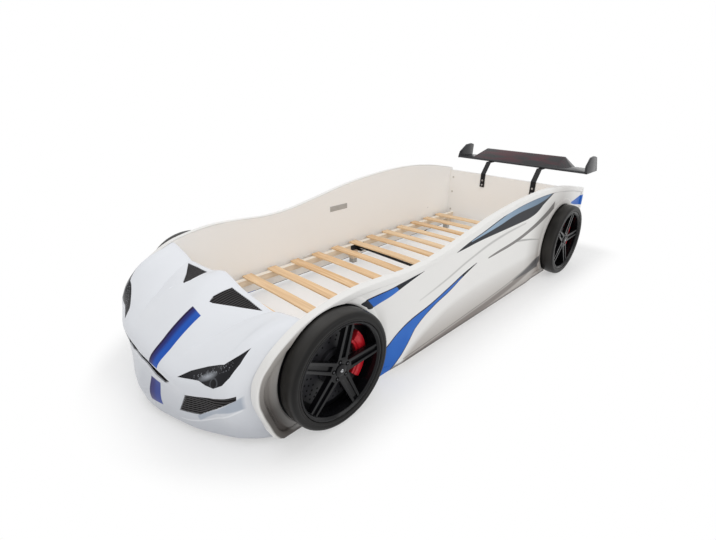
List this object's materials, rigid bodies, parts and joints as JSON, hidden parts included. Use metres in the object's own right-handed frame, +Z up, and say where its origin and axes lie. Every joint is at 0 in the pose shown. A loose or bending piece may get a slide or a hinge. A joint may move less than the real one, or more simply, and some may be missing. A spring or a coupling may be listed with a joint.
{
  "type": "car bed for children",
  "caption": "Children's bed in the shape of a low sports car, with slatted base, fixed wheels and rear wing.",
  "frame": {"origin": "on the floor, under the middle of the bounding box", "axes": "+Z up, +Y from the nose towards the headboard, +X towards the side with the left-hand wheels"},
  "size_m": [1.102, 2.749, 0.626],
  "materials": {
    "cream_board": "melamine face, satin",
    "side_plastic": "warm white, semi gloss",
    "shell_plastic": "cool white, gloss",
    "lamp_plastic": "gloss film",
    "dark_plastic": "satin",
    "rail_wood": "planed",
    "slat_wood": "birch veneer, satin lacquer",
    "black_steel": "powder coated",
    "pad_plastic": "moulded",
    "cap_plastic": "moulded",
    "tyre_plastic": "satin",
    "rim_plastic": "gloss",
    "disc_plastic": "silver grey, satin",
    "caliper_plastic": "gloss",
    "wing_plastic": "gloss",
    "screw_steel": "zinc plated"
  },
  "bodies": {
    "root": {"bonnet_vent_left": "dark_plastic", "bonnet_vent_right": "dark_plastic", "brake_disc_front_left": "disc_plastic", "brake_disc_front_right": "disc_plastic", "brake_disc_rear_left": "disc_plastic", "brake_disc_rear_right": "disc_plastic", "bumper_duct_left": "dark_plastic", "bumper_duct_right": "dark_plastic", "caliper_front_left": "caliper_plastic", "caliper_front_right": "caliper_plastic", "caliper_rear_left": "caliper_plastic", "caliper_rear_right": "caliper_plastic", "cover_caps": "cap_plastic", "cross_bar": "black_steel", "floor_pads": "pad_plastic", "footboard": "cream_board", "front_shell": "shell_plastic", "headboard": "cream_board", "headlamp_left": "lamp_plastic", "headlamp_right": "lamp_plastic", "mouth_grille": "dark_plastic", "rail_angles": "black_steel", "rail_joiners": "black_steel", "side_board_left": "cream_board", "side_board_right": "cream_board", "side_skin_left": "side_plastic", "side_skin_right": "side_plastic", "slat_01": "slat_wood", "slat_02": "slat_wood", "slat_03": "slat_wood", "slat_04": "slat_wood", "slat_05": "slat_wood", "slat_06": "slat_wood", "slat_07": "slat_wood", "slat_08": "slat_wood", "slat_09": "slat_wood", "slat_10": "slat_wood", "slat_11": "slat_wood", "slat_12": "slat_wood", "slat_13": "slat_wood", "slat_rail_front_left": "rail_wood", "slat_rail_front_right": "rail_wood", "slat_rail_rear_left": "rail_wood", "slat_rail_rear_right": "rail_wood", "support_blocks": "rail_wood", "tyre_front_left": "tyre_plastic", "tyre_front_right": "tyre_plastic", "tyre_rear_left": "tyre_plastic", "tyre_rear_right": "tyre_plastic", "wheel_bolts": "screw_steel", "wheel_caps": "rim_plastic", "wheel_front_left": "rim_plastic", "wheel_front_right": "rim_plastic", "wheel_rear_left": "rim_plastic", "wheel_rear_right": "rim_plastic", "wing_blade": "wing_plastic", "wing_bracket_left": "black_steel", "wing_bracket_right": "black_steel", "wing_screws": "screw_steel"}
  },
  "joints": []
}
